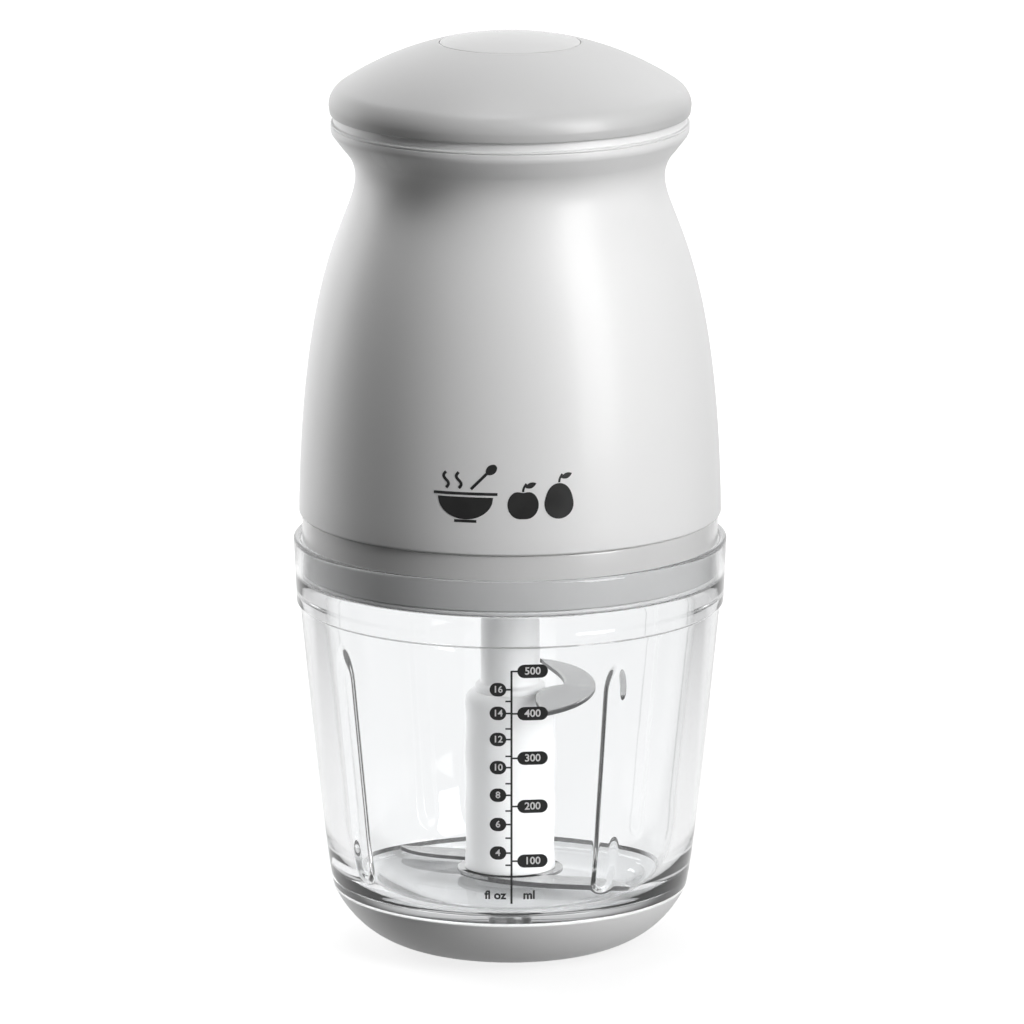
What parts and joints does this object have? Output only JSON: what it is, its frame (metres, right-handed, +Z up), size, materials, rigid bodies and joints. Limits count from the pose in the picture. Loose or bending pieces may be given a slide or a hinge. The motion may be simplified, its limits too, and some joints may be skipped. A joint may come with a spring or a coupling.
{
  "type": "baby food maker",
  "caption": "Press-top baby food maker: a glass bowl in a silicone boot, a grey lid, a white bell-shaped motor unit with a domed grey button, and steel blades on a pivot pin.",
  "frame": {"origin": "centre of the foot, on the surface that the object stands on", "axes": "+Z up along the object's axis; the bowl's printed scale faces -Y, the cord entry faces +Y"},
  "size_m": [0.1218, 0.1218, 0.2589],
  "materials": {
    "boot_silicone": "satin",
    "bowl_glass": "clear gloss",
    "stainless_steel": "polished",
    "hub_white": "semi-gloss",
    "bush_nylon": "satin",
    "drive_steel": "machined",
    "lid_grey": "semi-gloss",
    "seal_silicone": "satin",
    "housing_white": "gloss",
    "cover_grey": "satin",
    "screw_steel": "zinc plated",
    "gear_case_plastic": "satin",
    "bracket_aluminium": "die cast",
    "bronze": "sintered",
    "lamination_steel": "laminated",
    "winding_copper": "enamelled wire",
    "holder_brass": "plain",
    "carbon": "matt",
    "spider_plastic": "satin",
    "board_green": "satin",
    "suppressor_yellow": "gloss",
    "bush_rubber": "satin",
    "switch_black": "satin",
    "lead_red": "satin",
    "fan_plastic": "satin",
    "gear_nylon": "satin",
    "carrier_metal": "sintered",
    "plunger_red": "satin",
    "button_grey": "semi-gloss",
    "inlay_grey": "semi-gloss",
    "spring_steel": "bright"
  },
  "bodies": {
    "bowl": {"base_boot": "boot_silicone", "glass_bowl": "bowl_glass", "pivot_pin": "stainless_steel"},
    "blade_unit": {"hub_core": "hub_white", "hub_sleeve": "hub_white", "hub_bush": "bush_nylon", "drive_socket": "drive_steel", "lower_blade": "stainless_steel", "upper_blade": "stainless_steel", "blade_retainer": "hub_white"},
    "lid_group": {"lid": "lid_grey", "lid_seal": "seal_silicone", "lid_bush": "bush_nylon"},
    "motor_unit": {"housing": "housing_white", "bottom_cover": "cover_grey", "cord_bush": "bush_rubber", "guide_collar": "housing_white", "cover_screws": "screw_steel", "gear_case": "gear_case_plastic", "gear_case_screws": "screw_steel", "output_bush": "bronze", "gear_cover": "gear_case_plastic", "lower_bracket": "bracket_aluminium", "upper_bracket": "bracket_aluminium", "bracket_screws": "screw_steel", "lower_bearing": "screw_steel", "upper_bearing": "screw_steel", "stator_core": "lamination_steel", "field_coils": "winding_copper", "brush_holders": "holder_brass", "carbon_brushes": "carbon", "motor_spider": "spider_plastic", "spider_screws": "screw_steel", "circuit_board": "board_green", "suppressor": "suppressor_yellow", "collar_screws": "screw_steel", "switch_body": "switch_black", "internal_leads": "lead_red"},
    "armature": {"motor_shaft": "drive_steel", "rotor_core": "lamination_steel", "rotor_windings": "winding_copper", "commutator": "holder_brass", "cooling_fan": "fan_plastic", "sun_gear": "drive_steel"},
    "carrier": {"planet_carrier": "carrier_metal", "planet_pins": "drive_steel", "drive_dog": "drive_steel"},
    "planet_a": {"planet_gear_1": "gear_nylon"},
    "planet_b": {"planet_gear_2": "gear_nylon"},
    "planet_c": {"planet_gear_3": "gear_nylon"},
    "plunger": {"switch_plunger": "plunger_red"},
    "button": {"button_cap": "button_grey", "button_inlay": "inlay_grey", "button_screws": "screw_steel", "return_springs": "spring_steel"}
  },
  "joints": [
    {"name": "lid_lift", "type": "slide", "parent": "bowl", "child": "lid_group", "axis": [0, 0, 1], "range_m": [0, 0.06]},
    {"name": "motor_unit_lift", "type": "slide", "parent": "lid_group", "child": "motor_unit", "axis": [0, 0, 1], "range_m": [0, 0.06]},
    {"name": "motor_spin", "type": "hinge", "parent": "motor_unit", "child": "armature", "pos_m": [0, 0, 0.17], "axis": [0, 0, 1], "continuous": true},
    {"name": "carrier_spin", "type": "hinge", "parent": "motor_unit", "child": "carrier", "pos_m": [0, 0, 0.124], "axis": [0, 0, 1], "continuous": true},
    {"name": "blade_spin", "type": "hinge", "parent": "bowl", "child": "blade_unit", "pos_m": [0, 0, 0.03], "axis": [0, 0, 1], "continuous": true},
    {"name": "button_press", "type": "slide", "parent": "motor_unit", "child": "button", "axis": [0, 0, -1], "range_m": [0, 0.0023], "stiffness_N_per_m": 4000, "springref_m": -0.003, "deforming": ["return_springs"]},
    {"name": "plunger_press", "type": "slide", "parent": "motor_unit", "child": "plunger", "axis": [0, 0, -1], "range_m": [0, 0.0023]},
    {"name": "planet_a_spin", "type": "hinge", "parent": "carrier", "child": "planet_a", "pos_m": [0.01875, 0, 0.1325], "axis": [0, 0, 1], "continuous": true},
    {"name": "planet_b_spin", "type": "hinge", "parent": "carrier", "child": "planet_b", "pos_m": [-0.00937, 0.01624, 0.1325], "axis": [0, 0, 1], "continuous": true},
    {"name": "planet_c_spin", "type": "hinge", "parent": "carrier", "child": "planet_c", "pos_m": [-0.00937, -0.01624, 0.1325], "axis": [0, 0, 1], "continuous": true}
  ],
  "couplings": [
    {"joint": "carrier_spin", "follows": "motor_spin", "ratio": 0.2},
    {"joint": "blade_spin", "follows": "motor_spin", "ratio": 0.2},
    {"joint": "plunger_press", "follows": "button_press", "ratio": 1},
    {"joint": "planet_a_spin", "follows": "motor_spin", "ratio": -0.53333},
    {"joint": "planet_b_spin", "follows": "motor_spin", "ratio": -0.53333},
    {"joint": "planet_c_spin", "follows": "motor_spin", "ratio": -0.53333}
  ]
}
